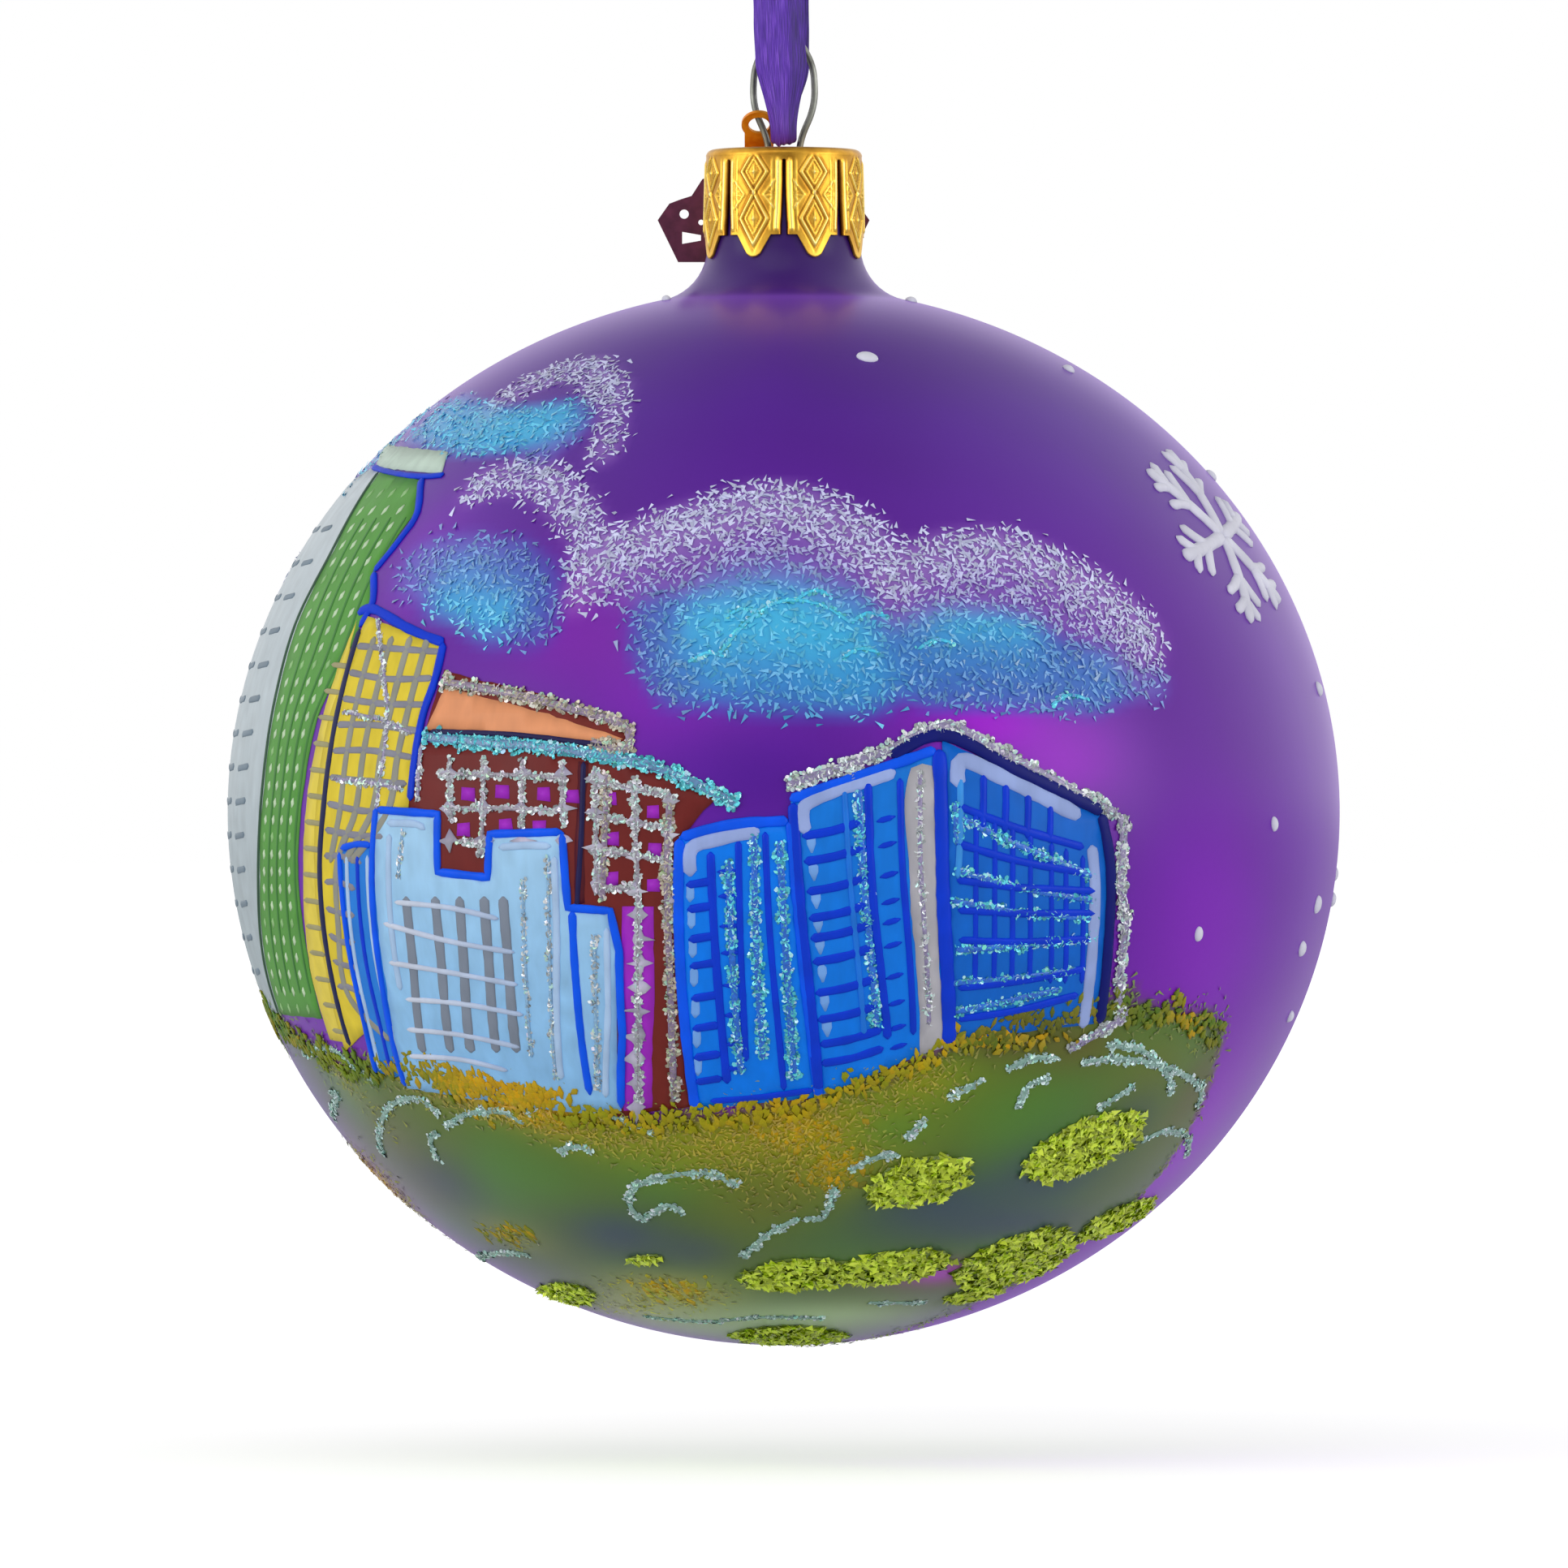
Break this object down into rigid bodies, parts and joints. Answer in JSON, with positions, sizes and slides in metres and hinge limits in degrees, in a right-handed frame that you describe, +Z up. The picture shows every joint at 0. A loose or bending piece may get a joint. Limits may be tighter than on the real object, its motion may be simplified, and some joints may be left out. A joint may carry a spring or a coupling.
{
  "type": "hanging glass ball ornament",
  "caption": "Mouth-blown glass ball with a painted hillside village, a stamped crown cap, wire ring, pierced tag and ribbon loop for hanging.",
  "frame": {"origin": "the hanging point, between the two strands of the ribbon loop just under its knot", "axes": "+Z up, from the ball to the hanging point; +X to the right of the painted front; +Y away from the painted front, towards the tag"},
  "size_m": [0.1, 0.1, 0.1722],
  "materials": {
    "lacquered_glass": "satin lacquer over silvered blown glass, hand painted with raised glitter",
    "gold_plated_tin": "satin gold on embossed sheet",
    "spring_wire": "drawn grey wire",
    "polished_brass": "mirror-polished thin sheet",
    "violet_satin": "woven satin ribbon"
  },
  "bodies": {
    "ribbon_loop": {"ribbon": "violet_satin", "ribbon_knot": "violet_satin"},
    "hanger": {"wire_hanger": "spring_wire"},
    "cap": {"crown_cap": "gold_plated_tin"},
    "ball": {"glass_ball": "lacquered_glass"},
    "tag": {"hang_tag": "polished_brass"}
  },
  "joints": [
    {"name": "hanger_swing", "type": "hinge", "parent": "ribbon_loop", "child": "hanger", "pos_m": [0, 0, -0.0489], "axis": [1, 0, 0], "range_deg": [-10, 10]},
    {"name": "cap_slip", "type": "slide", "parent": "hanger", "child": "cap", "axis": [0, 0, -1], "range_m": [0, 0.003]},
    {"name": "ball_pull_off", "type": "slide", "parent": "cap", "child": "ball", "axis": [0, 0, -1], "range_m": [0, 0.03]},
    {"name": "tag_swing", "type": "hinge", "parent": "hanger", "child": "tag", "pos_m": [-0.00225, 0, -0.0477], "axis": [1, 0, 0], "range_deg": [0, 40]}
  ]
}
